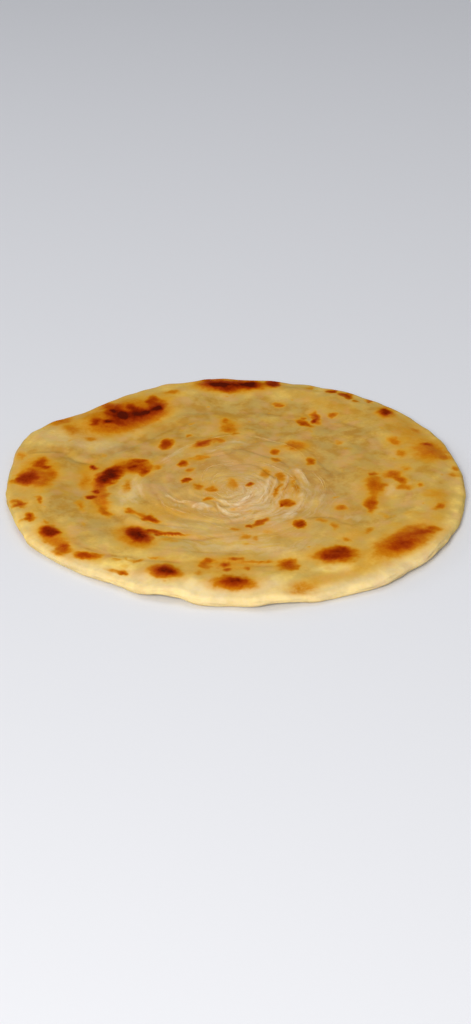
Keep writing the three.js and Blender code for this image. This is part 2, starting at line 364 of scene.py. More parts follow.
def outlineMiddle():  # half way between the outline's lowest and highest x and y
    around = np.arange(0, 360, 0.25)
    x, y = polar(outlineAt(around, detailed=False), around)
    return (x.min() + x.max()) / 2, (y.min() + y.max()) / 2


middle = outlineMiddle()


def sheetPlace(share, degrees):
    # x and y at a share of the way out to where the edge rounds off, and their share of the whole radius
    outline = outlineAt(degrees)
    radius = share * (outline - bread["edgeRound"])
    return *polar(radius, degrees), radius / outline


def heightLimited(z, room=0.5):
    # nothing stands higher than the solid's box: within the last half millimetre the height flattens off
    bend = cadBox[1].z / mm - room
    return np.where(z > bend, bend + room * np.tanh((z - bend) / room), z)


def topHeight(x, y, share, degrees):
    return heightLimited(undersideHeight(share, degrees) + topRelief(x, y, share))


def discGrid(cells):
    # a square grid laid on a disc, square by square: the larger of |u| and |v| is the share of the way out,
    # and the other one over it turns the direction by up to 45 degrees
    line = np.linspace(-1, 1, cells + 1)
    u, v = (side.ravel() for side in np.meshgrid(line, line, indexing="ij"))
    sideways = np.abs(u) >= np.abs(v)
    safeU, safeV = np.where(u == 0, 1, u), np.where(v == 0, 1, v)
    share = np.where(sideways, u, v)
    degrees = np.where(sideways, 45 * v / safeU, 90 - 45 * u / safeV)
    number = np.arange((cells + 1) ** 2).reshape(cells + 1, cells + 1)
    faces = np.stack([number[:-1, :-1], number[1:, :-1], number[1:, 1:], number[:-1, 1:]], -1).reshape(-1, 4)
    border = np.concatenate([number[-1, :-1], number[1:, -1][::-1], number[0, 1:][::-1], number[:-1, 0]])
    return np.abs(share), np.where(share < 0, degrees + 180, degrees), faces, border


shot = {
    "distance": 0.75,
    "elevation": 29.7,
    "aim": (0.0, -21.3),  # in mm, where the middle of the picture meets the floor
    "focalPixels": 1827.8,
    "longSidePixels": 1024,
    "sensor": 36.0,
    "nearest": 0.01,
}


# The browned marks: x, y, long, wide, turn in degrees and how dark, from 0.15, golden, to 1, charred

browning = {
    "griddlePatch": [
        (-48, 57, 36, 25, 35, 0.46), (-54, 47, 18, 12, 20, 0.42), (-53, 59.5, 15, 9, -65, 0.82),
        (-44, 58.5, 17, 7.5, 20, 0.8), (-46, 64, 9, 4.5, -55, 0.74), (-35.5, 64, 12, 7, 65, 0.82),
        (-50, 57, 8, 4.5, -60, 0.92), (-44, 58, 4, 3, 0, 0.88), (-40, 60, 6, 4, 30, 0.94),
        (-35, 64.5, 6, 4.5, 60, 0.96), (-54.5, 61, 5, 3.5, -60, 0.85), (-40, 55, 22, 8, 35, 0.52),
        (-37.5, 71, 9, 6, 90, 0.68), (-56.5, 51, 4, 4, 0, 0.95), (-62, 50, 7.5, 5, 75, 0.78),
        (-47, 56, 24, 13, 30, 0.62), (-58, 66, 7, 4, 40, 0.5), (-51, 66, 5, 3, -50, 0.5),
        (-52, 50, 9, 5, -45, 0.62), (-63, 34, 5, 4, 0, 0.35), (-72, 43, 10, 6, -70, 0.35),
        (-77, 51, 10, 5, 30, 0.4), (-76, 31, 5, 2, 0, 0.15),
    ],
    "leftRim": [
        (-82, 4, 21, 16, 100, 0.33), (-87, -0.8, 12, 9, 60, 0.84), (-82.5, 12, 9, 6, 80, 0.68),
        (-85, 8, 6, 3, 60, 0.2), (-77.5, 3, 8, 4, 90, 0.42), (-80, 8, 4, 3, 0, 0.7),
        (-80.5, -2, 14, 9, 90, 0.47), (-91.5, 18, 7, 4, 90, 0.32), (-88, -23, 7, 3, -60, 0.6),
        (-80, -20, 6, 2, -75, 0.5), (-83, -34, 5.5, 4, -65, 0.65), (-76, -38, 4, 2, -60, 0.35),
        (-74, -46, 9, 7, -65, 0.9), (-67.5, -58, 8, 5, -70, 0.6), (-72, -51, 16, 8, -55, 0.4),
        (-58, -64, 10, 5, -15, 0.68),
    ],
    "leftOfMiddle": [
        (-53, 0.5, 17, 9, 62, 1.0), (-42, 9, 12, 10, 0, 0.65), (-43.5, 9, 4, 3, 0, 0.75),
        (-41, 14, 5, 3, 0, 0.62), (-38.5, 4, 6, 4, 90, 0.7), (-60, 8, 4, 3, -60, 0.85),
        (-57.5, -13, 3.5, 3, 0, 0.8), (-59.5, -18, 3.5, 3, 0, 0.8), (-55.5, -16, 21, 6.5, -80, 0.46),
        (-56.5, -8, 8, 5, 80, 0.46), (-53, -30, 8, 4, -60, 0.5), (-63, -6, 10, 5, 90, 0.35),
        (-63, -25, 8, 3, -75, 0.35), (-45, -8, 10, 4, 85, 0.35),
    ],
    "frontRim": [
        (-46, -67, 4, 2, 0, 0.35), (-38, -68, 5, 2, 0, 0.35), (-31, -66, 6, 2, 0, 0.35),
        (-43, -77, 5, 2.5, -20, 0.55), (-46, -76, 8, 2, -25, 0.35), (-27, -75.6, 12, 8, -20, 0.74),
        (-26.5, -75, 8, 5, -20, 0.78), (-0.8, -83.8, 14, 7.5, -3, 0.7), (-0.5, -82.3, 9, 4, -5, 0.74),
        (-1, -84.2, 18.5, 10.5, -3, 0.36), (-10, -68, 5, 3, 0, 0.55), (-4, -71, 4, 3, 0, 0.65),
        (-1, -67, 4, 2.5, 0, 0.55), (-3, -75, 3, 2, 0, 0.55), (-12, -71, 6, 4, 90, 0.46),
        (-14, -77, 4, 3, 0, 0.3), (2, -67, 3, 2, 0, 0.42), (9, -69, 13, 1.8, 2, 0.4),
        (4, -74, 2.5, 2, 0, 0.42), (-4, -71, 24, 12, 0, 0.25), (25.5, -87.5, 8, 6, 0, 0.26),
        (23, -91.5, 6, 4, 0, 0.23),
    ],
    "frontRight": [
        (20.6, -71, 8, 7, 60, 0.6), (19, -72, 10, 7, 0, 0.24), (39.3, -63, 14, 8.5, 12, 0.75),
        (40.5, -60, 7, 5, 0, 0.6), (36, -65, 8, 4, 10, 0.6), (39, -64, 18, 10.5, 8, 0.46),
        (66.3, -52.5, 26, 11.5, 40, 0.56), (75, -45.2, 13, 4, 14, 0.58), (65, -56, 11, 7, 40, 0.64),
        (66, -54, 30, 14, 40, 0.38), (44, -52, 4, 3, 0, 0.35), (53, -45, 5, 3, 60, 0.35),
    ],
    "frontOfMiddle": [
        (25.5, -40, 6, 6, 0, 0.75), (10, -38.5, 8, 3, 45, 0.6), (5.5, -42, 3, 2, 0, 0.6),
        (0, -44, 5, 3, 0, 0.35), (4, -50, 4, 3.5, 0, 0.35), (8, -51, 3, 2.5, 0, 0.3),
        (4, -56, 3, 2, 0, 0.25), (13, -46, 4, 2.5, 0, 0.25), (21, -23, 6, 5, 50, 0.6),
        (18.5, -24.5, 3, 1.5, 60, 0.75), (43, -26.5, 5, 4.5, 0, 0.5), (35, -37, 3.5, 3, 0, 0.35),
        (40, -41, 5, 3, 90, 0.35), (-43, -29, 5, 3, -30, 0.5), (-34, -36, 8, 3.5, -35, 0.7),
        (-39, -32, 12, 3, -40, 0.4), (-38.8, -48.3, 12.5, 7.8, -45, 0.95),
        (-32, -46.2, 14, 2.8, -14, 0.66), (-24, -47.9, 9, 2.6, -4, 0.66), (-39.5, -50, 17, 12, -40, 0.42),
        (-26, -52, 8, 3, 0, 0.26),
    ],
    "right": [
        (83, -25, 6, 4, 50, 0.5), (82, -15, 10, 8, 0, 0.25), (72, -31, 10, 4, 0, 0.2),
        (77, -7, 4, 3, 50, 0.4), (70, -9, 6, 5, 0, 0.4), (66, 2, 7, 6, 0, 0.54),
        (69, -2.5, 7, 4, -60, 0.54), (58, -7, 13, 7.5, 95, 0.52), (58, 2.5, 4, 3, 0, 0.5),
        (55.6, -22.5, 10, 5.5, 82, 0.6), (55, -28, 5, 3, 90, 0.45), (57, -14, 10, 4, 90, 0.34),
        (93, 7, 5, 3, 90, 0.4), (91, 1.5, 4, 4, 0, 0.36), (72, 7, 4, 4, 0, 0.3),
        (83.5, 22.5, 13, 14.5, 0, 0.42), (83, 29, 4, 3.5, 0, 0.62), (89, 17, 6, 4, -30, 0.42),
        (69, 32, 7, 5, 110, 0.42), (71, 21, 6, 5, 90, 0.35), (79, 42, 5, 3, -40, 0.3),
    ],
    "rearRight": [
        (67, 60, 7, 5, 100, 0.85), (67, 60, 10, 8, 100, 0.42), (50, 77, 7, 4, -45, 0.7),
        (44, 81.5, 5, 3.5, 0, 0.68), (54.5, 71, 3, 3, 0, 0.4), (60.5, 71, 4, 3, -45, 0.5),
        (34, 85, 4, 4, 0, 0.3), (43, 57, 5, 4, 90, 0.5), (35.8, 54.5, 11, 4, 98, 0.6),
        (35, 51.5, 3, 3, 0, 0.8), (30.5, 49, 8, 4, -40, 0.62), (30, 54.5, 3, 2.5, 90, 0.5),
        (19.5, 67.5, 4.5, 4, 0, 0.5),
    ],
    "middle": [
        (26, 28, 9, 8, 0, 0.42), (17, 22.5, 5, 3.5, 90, 0.55), (17, 15, 4.5, 3, 0, 0.42),
        (32, 13.5, 6, 4, 80, 0.55), (45, 31, 4, 3, 0, 0.3), (12.5, 3, 8, 4, 90, 0.35),
        (19, 0, 7, 4, 100, 0.4), (24, -3, 8, 2, 90, 0.3), (17, -12, 10, 2, 75, 0.45),
        (21, -10, 8, 2, 75, 0.3), (25, -10, 12, 3, 90, 0.3), (6, -6.5, 3, 3, 0, 0.62),
        (-1, -6, 8, 5, 90, 0.35), (-9.5, -11, 4, 4, 0, 0.45), (-15.5, -9, 5, 4, -60, 0.45),
        (-20.5, -3, 4, 3.5, -30, 0.72), (-22, 12, 5, 4, 70, 0.65), (-19.5, 6, 4, 3.5, -60, 0.42),
        (-11, -19.5, 4.5, 3, 0, 0.45), (-30, 29.5, 9, 5.5, 80, 0.72), (-14.2, 30, 10, 5, 37, 0.63),
        (-7, 33, 5, 3.5, 0, 0.45), (-20, 37.5, 3, 2.5, 90, 0.4), (-15, 17, 9, 4.5, 20, 0.38),
        (-33, 8, 3.5, 3.5, 0, 0.35), (-3, 46, 10, 7, 100, 0.37), (-5, 52, 4, 3, 90, 0.45),
        (0, 39, 3.5, 3.5, 0, 0.35), (-3, 43, 6, 5, 0, 0.35),
    ],
    "rearRim": [
        (-6, 88, 20, 10, -8, 0.84), (5, 88, 16, 8, 0, 0.8), (-12, 92, 7, 4, -10, 0.6),
        (-8, 88, 10, 5, -5, 1.0), (6, 88.5, 9, 4.5, 0, 0.93), (-3, 82.5, 9, 6, 0, 0.6),
        (17, 89.3, 7.5, 7, 0, 0.86), (-2, 87, 32, 12, -3, 0.42), (-29, 80.5, 7, 4, 10, 0.4),
    ],
}

brownedSpots = [spot for group in browning.values() for spot in group]

faintMarks = {
    "goldenPatches": [  # wide ones, where the dough only began to brown, in the same numbers
        (76, 40, 38, 15, -62, 0.24), (82, 22, 24, 20, 90, 0.21), (-3, 46, 20, 15, 90, 0.19),
        (32, -83, 36, 10, 22, 0.19), (-57, -20, 26, 10, -78, 0.20), (-28, -30, 28, 10, -15, 0.2),
        (-56, 45, 34, 20, 20, 0.23), (58, -8, 40, 14, 92, 0.19), (20, -6, 26, 14, 80, 0.15),
        (-14, -6, 24, 14, -50, 0.15), (26, 26, 14, 10, 0, 0.19), (-62, 6, 26, 12, 60, 0.17),
        (5, -49, 30, 16, 0, 0.14), (-70, -52, 34, 12, -55, 0.19), (-3, -72, 40, 14, 0, 0.17),
        (-14, 31, 24, 10, 25, 0.17), (42, -40, 26, 14, -20, 0.13), (40, 70, 50, 12, -35, 0.17),
        (-28, 82, 30, 10, 25, 0.1), (70, 12, 26, 14, 90, 0.15), (25, -89, 15, 11, 30, 0.22),
        (52, -71, 20, 12, 35, 0.19), (84, -22, 40, 14, 78, 0.15), (-64, 57, 12, 10, 30, 0.25),
        (-72, 46, 20, 12, -60, 0.23), (-35, 72, 14, 10, 60, 0.22), (-86, 12, 16, 14, 90, 0.20),
        (-86, -12, 18, 12, 95, 0.17), (-61, 0, 16, 12, 90, 0.23), (-48, 10, 10, 8, 60, 0.40),
        (-83, -25, 16, 10, 110, 0.17), (48, -48, 16, 10, 0, 0.20), (70, -42, 26, 12, 40, 0.19),
    ],
    "freckles": {"count": 150, "reach": 90, "size": (1.0, 3.2), "dark": (0.1, 0.3), "seed": 41},
    "underside": {"count": 85, "reach": 88, "size": (3, 15), "dark": (0.3, 0.85), "seed": 51},
    "undersideFrecklesSeed": 55,
}

doughTanAndShade = {  # how tan the dough is, with painted shade in it: 0 is pale and 1 is tan
    # the top's rear is made darker in steps: painted shade for the light falling off towards the back
    "top": {"middle": 0.78, "rimPaler": 0.47, "rimFrom": (0.6, 0.96), "rearDarkerPaintedShade": 0.14,
            "ripples": [(16, 0.1, 71), (8, 0.05, 72)]},
    "underside": {"middle": 0.5, "rimPaler": 0.25, "rimFrom": (0.8, 0.97), "rearDarkerPaintedShade": 0,
                  "ripples": [(22, 0.18, 82), (8, 0.08, 83)]},
    # these ovals are partly the dough's own tone and partly painted shade, darker in the valleys
    "tanAndPaintedShadeZones": [  # added up: x, y, long, wide, turn in degrees and amount, below nothing for pale
        (-70, 30, 38, 19, -20, -0.55), (-45, 43, 38, 9, 48, -0.45), (-28, 60, 22, 10, 60, -0.3),
        (-44, -12, 30, 12, 85, -0.6), (-24, -40, 34, 7, -8, -0.4), (-38, -56, 18, 6, -20, -0.1),
        (40, -73, 16, 7, 10, -0.45), (66, -12, 18, 7, 80, -0.35), (0, 76, 50, 12, 0, -0.25),
        (54, 55, 10, 9, 0, -0.25), (75, 18, 10, 8, 0, -0.2), (3, 38, 12, 10, 0, -0.25),
        (-68, 3, 26, 12, 80, -0.2), (-82, -48, 46, 10, -50, -0.3), (-40, -79, 40, 9, -18, -0.2),
        (0, -90, 64, 13, 3, -0.6), (60, -75, 50, 10, 42, -0.35), (89, -30, 50, 9, 78, -0.3),
        (-8, -55, 70, 14, 0, -0.12), (-3, -6, 32, 30, 0, -0.1), (-3, 64, 46, 9, 3, 0.26),
        (-12, 54, 44, 10, 28, 0.22), (-47, 22, 40, 8, 50, 0.4), (10, 30, 30, 12, 30, 0.12),
        (36, -33, 18, 6, -15, 0.3), (32, -83, 34, 9, 22, 0.5), (-60, -42, 52, 24, -62, 0.38),
        (-72, -24, 16, 14, 0, 0.4), (-15, -28, 24, 8, 0, 0.2), (46, -5, 26, 10, 95, 0.15),
        (10, 68, 22, 9, 80, 0.15), (78, -33, 14, 7, 0, 0.2), (45, 30, 60, 40, 100, 0.15),
        (74, -5, 44, 22, 90, 0.3), (40, 0, 60, 20, 90, 0.12), (76, 30, 60, 20, 112, 0.25),
        (-76, 8, 42, 30, 90, 0.3), (-60, -8, 24, 18, 90, 0.3), (-30, 66, 34, 16, 20, 0.3),
        (6, 71, 40, 14, 0, 0.3), (-12, 11, 34, 16, 10, 0.3), (-24, -10, 40, 14, 60, 0.12),
        (-4, -10, 20, 14, 0, 0.2), (84, -22, 44, 16, 78, 0.2), (-62, 50, 20, 20, 0, 0.15),
        (70, 45, 40, 12, -55, 0.2), (-38, 72, 30, 8, 35, 0.1), (40, 62, 16, 14, 0, 0.15),
        (-74, 16, 36, 56, -10, 0.3), (-66, 32, 40, 14, -18, 0.2), (62, 57, 36, 16, -45, 0.3),
        (88, 5, 16, 60, 0, 0.12), (20, 84, 40, 10, -10, 0.15), (21, 77, 14, 9, 0, 0.22),
        (-40, -44, 20, 14, 0, 0.15), (60, -36, 16, 12, 0, 0.2), (-86, 40, 30, 10, 60, 0.3),
        (-72, -8, 44, 70, 0, 0.14),
    ],
}

drySkin = {  # the dry, whitish skin: a veil round the heart, a paler edge at the front only, and patches
    "veil": {"at": (12, -18), "reach": 20, "amount": 0.55},
    "frontLip": {"amount": 0.7, "from": (0.92, 0.98)},
    "waver": (6, 0.8, 74),
    "patches": [  # x, y, long, wide, turn in degrees and amount
        (29.5, -2, 14, 3.5, 105, 0.5), (22, -31, 9, 5, 60, 0.9), (-14, -24, 7, 4, -20, 0.6),
        (1, -23, 11, 4, 12, 0.7), (6, -31, 8, 4, 0, 0.45), (12, -17, 8, 3, 72, 0.5),
        (-24, -24, 9, 3, -50, 0.3), (47, -33, 8, 5, -20, 0.3), (-9, 24, 14, 4, 30, 0.3),
        (0, 31, 10, 5, 0, 0.35), (-18, -38, 12, 3, 0, 0.3), (-4, -13, 6, 4, 0, 0.4),
        (64, -10, 10, 3, 80, 0.35), (-30, 16, 12, 4, 60, 0.25), (-66, 31, 42, 15, -18, 0.28),
        (-44, 44, 28, 8, 48, 0.28), (38, -74, 12, 4, 5, 0.3), (-7, -89, 54, 13, 2, 0.95),
        (6, -54, 56, 18, 0, 0.3), (-36, -82, 34, 9, -18, 0.5), (-64, -70, 34, 7, -45, 0.4),
        (60, -74, 46, 8, 40, 0.45), (-43, -13, 26, 10, 85, 0.42), (-22, -41, 20, 3, -8, 0.3),
    ],
}

oilySheen = {"top": [(24, 1, 76), (9, 0.4, 77)], "underside": [(20, 1, 84)]}  # length, height and seed


def spotsAt(x, y, spots, seed):
    # the cube root of the sum of (dark * 2^-(d^(0.9 + dark)))^3: the darker of two spots wins, and dark spots
    # end more sharply than faint ones; d is the squared distance * (0.7 + 0.3 dark) from the oval, which is
    # made a little deeper, as marks seen at a low angle look shallow
    waverX = x + rippled(x, y, [(7, 0.4, seed), (2.7, 0.2, seed + 1)])
    waverY = y + rippled(x, y, [(7, 0.4, seed + 2), (2.7, 0.2, seed + 3)])
    total = np.zeros(np.shape(x))
    for spot in spots:
        middleY, dark = spot[1], spot[5]
        deeper = middleY + (waverY - middleY) * 0.92
        distance = ovalDistance(waverX, deeper, spot) * (0.7 + 0.3 * dark)
        near = distance < 7
        total[near] += (dark * 0.5 ** (distance[near] ** (0.9 + dark))) ** 3
    return total ** (1 / 3)


def strewn(spread):  # random ovals with their places, sizes, turns and darkness
    draw = np.random.default_rng(spread["seed"])
    out = spread["reach"] * np.sqrt(draw.uniform(0, 1, spread["count"]))
    at = draw.uniform(0, 2 * math.pi, spread["count"])
    long = draw.uniform(*spread["size"], spread["count"])
    wide = long * draw.uniform(0.45, 0.9, spread["count"])
    turn = np.degrees(at) + 90 + draw.normal(0, 25, spread["count"])
    dark = draw.uniform(*spread["dark"], spread["count"])
    return np.stack([out * np.cos(at), out * np.sin(at), long, wide, turn, dark], 1)


def lipDryness(y, share):  # the very edge, only at the front
    lip = drySkin["frontLip"]
    return lip["amount"] * smoothStep(*lip["from"], share) * smoothStep(0.2, 0.8, -y / bread["radius"])


def tanWithoutZones(x, y, share, tone):
    # the middle's tan, paler to the rim, darker to the rear in equal steps as painted shade, and rippled
    tan = tone["middle"] - tone["rimPaler"] * smoothStep(*tone["rimFrom"], share)
    return tan + tone["rearDarkerPaintedShade"] * y / bread["radius"] + rippled(x, y, tone["ripples"])


def drynessOf(x, y, share, arcsDry, arcsGrooveTanAndShade):
    # the driest of the arcs, the veil, which the grooves' tan and painted shade thin out, the patches and
    # the front lip
    veil = drySkin["veil"]
    fromVeil = np.hypot(x - veil["at"][0], y - veil["at"][1])
    dry = veil["amount"] * bell(fromVeil, veil["reach"]) * (1 - 0.7 * np.clip(2 * arcsGrooveTanAndShade, 0, 1))
    dry = np.maximum(arcsDry, dry)
    waverX, waverY = wavered(x, y, drySkin["waver"])
    for patch in drySkin["patches"]:
        dry = np.maximum(dry, patch[5] * np.exp(-ovalDistance(waverX, waverY, patch) ** 1.5))
    return np.maximum(dry, lipDryness(y, share))


def marksOf(brown, halo, tan, dry, sheen):  # the numbers that the finish reads, each from 0 to 1
    tan, dry = np.clip(tan, 0, 1), np.clip(dry, 0, 1)
    return {"browning": brown, "halo": halo, "tan": tan, "dry": dry, "oily": smoothStep(-0.2, 0.9, sheen)}


def topMarks(x, y, z, share):
    # browning, the golden halo round it, tan, dryness and how oily; the marks' places were read off the
    # picture as if all lay 5 mm up, so a place at height z is looked up (z - 5) / tan(elevation) further back
    backY = y + (z - 5) / math.tan(math.radians(shot["elevation"]))
    faint = [*faintMarks["goldenPatches"], *strewn(faintMarks["freckles"])]
    brown = spotsAt(x, backY, [*brownedSpots, *faint], seed=61)
    halos = [(*spot[:2], 1.5 * spot[2] + 2, 1.5 * spot[3] + 2, *spot[4:]) for spot in brownedSpots]
    halo = spotsAt(x, backY, halos, seed=65)
    lineX, lineY = wavered(x, y, bread["linesWaver"])
    _, arcsDry, arcsGrooveTanAndShade = arcFields(lineX, lineY)
    # the seams' and arcs' tone is tan with painted shade in their grooves
    tan = tanWithoutZones(x, y, share, doughTanAndShade["top"]) + seamFields(lineX, lineY)[1] + arcsGrooveTanAndShade
    for zone in doughTanAndShade["tanAndPaintedShadeZones"]:
        tan = tan + zone[5] * np.exp(-ovalDistance(lineX, lineY, zone))
    dry = drynessOf(x, y, share, arcsDry, arcsGrooveTanAndShade)
    return marksOf(brown, halo, tan, dry, rippled(x, y, oilySheen["top"]))


def undersideFaceMarks(x, y, share):  # the face that was fried last: larger even spots all over
    spots = strewn(faintMarks["underside"])
    freckles = {**faintMarks["freckles"], "seed": faintMarks["undersideFrecklesSeed"]}
    brown = spotsAt(x, y, [*spots, *strewn(freckles)], seed=81)
    halo = spotsAt(x, y, spots * (1, 1, 1.5, 1.5, 1, 1), seed=83)
    tan = tanWithoutZones(x, y, share, doughTanAndShade["underside"])
    return marksOf(brown, halo, tan, lipDryness(y, share), rippled(x, y, oilySheen["underside"]))


def edgeRings(border, low, degrees):
    # the rounded edge: half an oval from the top's border to the underside's, with faint folds round the side
    folds = bread["edgeFolds"]
    rings = []
    for angle in bread["edgeAngles"]:
        turned = math.radians(angle)
        around = ripples(border[:, 0] + 2 * angle, border[:, 1], folds["length"], folds["seed"])
        fold = np.minimum(1 + folds["depth"] * around * math.cos(turned), folds["most"])
        out = bread["edgeRound"] * math.cos(turned) ** 0.8 * fold
        outX, outY = polar(out, degrees)
        height = (border[:, 2] + low) / 2 + (border[:, 2] - low) / 2 * math.sin(turned)
        rings.append(np.stack([border[:, 0] + outX, border[:, 1] + outY, height], 1))
    return rings


def stitchedBorders(fine, coarse):  # triangles between a loop and one with half as many points
    fineNext, fineOver, coarseNext = np.roll(fine, -1)[::2], np.roll(fine, -2)[::2], np.roll(coarse, -1)
    return np.vstack([
        np.stack([fine[::2], coarse, fineNext], 1),
        np.stack([fineNext, coarse, coarseNext], 1),
        np.stack([fineNext, coarseNext, fineOver], 1),
    ])


def marksDownEdge(topValues, underValues, fading):
    # the edge takes the top border's values over to the underside's; fading ones are at nothing half way down
    rings = []
    for angle in bread["edgeAngles"]:
        way = 0.5 - 0.5 * math.sin(math.radians(angle))
        fade = abs(2 * way - 1) ** 1.5 if fading else 1.0
        rings.append((topValues * (1 - way) + underValues * way) * fade)
    return np.concatenate(rings)


def makeBread():
    cells = bread["cells"]
    share, degrees, topFaces, topBorder = discGrid(cells)
    share = share * (1 - bread["middleFineness"] * (1 - share))  # finer squares in the middle
    x, y, outShare = sheetPlace(share, degrees)
    top = np.stack([x, y, topHeight(x, y, outShare, degrees)], 1)
    topValues = topMarks(x, y, top[:, 2], outShare)

    underShare, underDegrees, underFaces, underBorder = discGrid(cells // 2)
    underX, underY, underOut = sheetPlace(underShare, underDegrees)
    pits = np.clip(rippled(underX, underY, bread["undersidePits"]["ripples"]), 0, 1)
    pits = bread["undersidePits"]["depth"] * pits * (1 - smoothStep(0.97, 1, underShare))
    under = np.stack([underX, underY, undersideHeight(underOut, underDegrees) + pits], 1)
    underValues = undersideFaceMarks(underX, underY, underOut)

    around = degrees[topBorder]
    rings = edgeRings(top[topBorder], undersideHeight(outShare[topBorder], around), around)
    ringPoints = len(topBorder) * len(rings)
    loops = np.vstack([topBorder, len(top) + np.arange(ringPoints).reshape(len(rings), -1)])
    nextOn = np.roll(loops, -1, 1)
    edgeFaces = np.stack([loops[:-1], loops[1:], nextOn[1:], nextOn[:-1]], -1).reshape(-1, 4)
    underFirst = len(top) + ringPoints
    stitches = stitchedBorders(loops[-1], underBorder + underFirst)

    points = np.vstack([top, *rings, under])
    marks = {}
    for mark in topValues:
        borderUnder = np.repeat(underValues[mark][underBorder], 2)
        edge = marksDownEdge(topValues[mark][topBorder], borderUnder, fading=mark in ("browning", "halo"))
        marks[mark] = np.concatenate([topValues[mark], edge, underValues[mark]])
    faces = [topFaces, edgeFaces, stitches, (underFaces + underFirst)[:, ::-1]]
    return meshPiece("paratha_bread", points, faces, marks)


breadPiece = makeBread()
print("bread made:", len(breadPiece.data.vertices), "points, height in mm",
      round(max(corner[2] for corner in breadPiece.bound_box) / mm, 2))


# Thin layer edges that stand up along the coil round its heart

layerEdges = {
    "lean": 0.5,
    "thickness": 0.2,
    "rootDepth": 0.3,
    "tan": 0.45,
    "stepsEach": 60,
    "ragged": (3.2, 0.3, 111),  # length, depth and seed
    "strayArcs": {
        "count": 14, "out": (9, 40), "startDegrees": (-100, 60), "spanDegrees": (18, 45),
        "growth": (0.94, 1.04), "points": 5, "dryness": (0.1, 0.4), "width": 0.8, "height": (0.1, 0.22),
        "seed": 101,
    },
}


def strayArcs():
    # more short arcs, strewn at random round the heart: points on a circle that grows a little along the way
    stray = layerEdges["strayArcs"]
    draw = np.random.default_rng(stray["seed"])
    arcs = []
    for _ in range(stray["count"]):
        out, start = draw.uniform(*stray["out"]), draw.uniform(*stray["startDegrees"])
        along = start - np.linspace(0, draw.uniform(*stray["spanDegrees"]), stray["points"])
        radius = out * np.linspace(1.0, draw.uniform(*stray["growth"]), stray["points"])
        points = np.stack(polar(radius, along), 1) + bread["coil"]["heart"]
        arcs.append((points, draw.uniform(*stray["dryness"]), stray["width"], draw.uniform(*stray["height"])))
    return arcs


def bladeAlong(path, tall):
    # a thin blade carried along a line: a root in the dough and a tip that leans to the left, outwards, its
    # height falling to nothing at both ends as sin(pi t)^0.6
    half = layerEdges["thickness"] / 2
    section = np.array([  # aside, up and leaning, from the root's inner corner round the tip and back
        (-1.6 * half, 0, 0), (1.6 * half, 0, 0), (0.9 * half, 0.5, 0.5),
        (0.3 * half, 1.0, 1.0), (-0.5 * half, 1.0, 1.0), (-half, 0.5, 0.5),
    ])
    ahead = np.gradient(path, axis=0)
    outwards = np.stack([-ahead[:, 1], ahead[:, 0]], 1) / np.hypot(*ahead.T)[:, None]
    length, depth, seed = layerEdges["ragged"]
    ragged = 1 - depth + depth * ripples(path[:, 0], path[:, 1], length, seed)
    grow = np.sin(math.pi * np.linspace(0, 1, len(path))) ** 0.6 * np.clip(ragged, 0.15, 1.2)
    degrees = np.degrees(np.arctan2(path[:, 1], path[:, 0]))
    ground = topHeight(path[:, 0], path[:, 1], np.hypot(*path.T) / outlineAt(degrees), degrees)
    high = (grow * tall)[:, None]
    aside = section[:, 0] * grow[:, None] + section[:, 2] * layerEdges["lean"] * high
    up = np.where(section[:, 1] > 0, section[:, 1] * high, -layerEdges["rootDepth"])
    place = path[:, None, :] + outwards[:, None, :] * aside[:, :, None]
    return np.concatenate([place, (ground[:, None] + up)[:, :, None]], 2)


def makeLayerEdges():
    # a blade along each arc, closed by a fan of triangles at either end
    points, faces, dryness, count = [], [], [], 0
    for line, dry, _, tall in [*bread["layerArcs"], *strayArcs()]:
        blade = bladeAlong(smoothPath(line, layerEdges["stepsEach"] // (len(line) - 1)), tall)
        steps, corners = blade.shape[:2]
        number = count + np.arange(steps * corners).reshape(steps, corners)
        nextCorner = np.roll(number, -1, 1)
        faces.append(np.stack([number[:-1], nextCorner[:-1], nextCorner[1:], number[1:]], -1).reshape(-1, 4))
        for cap in (number[0][::-1], number[-1]):
            faces += [cap[[[0, corner, corner + 1]]] for corner in range(1, corners - 1)]
        points.append(blade.reshape(-1, 3))
        dryness.append(np.full(steps * corners, dry))
        count += steps * corners
    allPoints = np.vstack(points)
    x, y = allPoints[:, 0], allPoints[:, 1]
    marks = {
        "browning": 0.7 * spotsAt(x, y, brownedSpots, seed=61),
        "halo": np.zeros(len(x)),
        "tan": np.full(len(x), layerEdges["tan"]),
        "dry": np.concatenate(dryness) * np.clip(0.8 + 0.3 * ripples(x, y, 6, 112), 0, 1),
        "oily": np.zeros(len(x)),
    }
    return meshPiece("layer_edges", allPoints, faces, marks)


edgesPiece = makeLayerEdges()
print("layer edges made:", len(edgesPiece.data.polygons), "faces")


# Shader maths as Python expressions

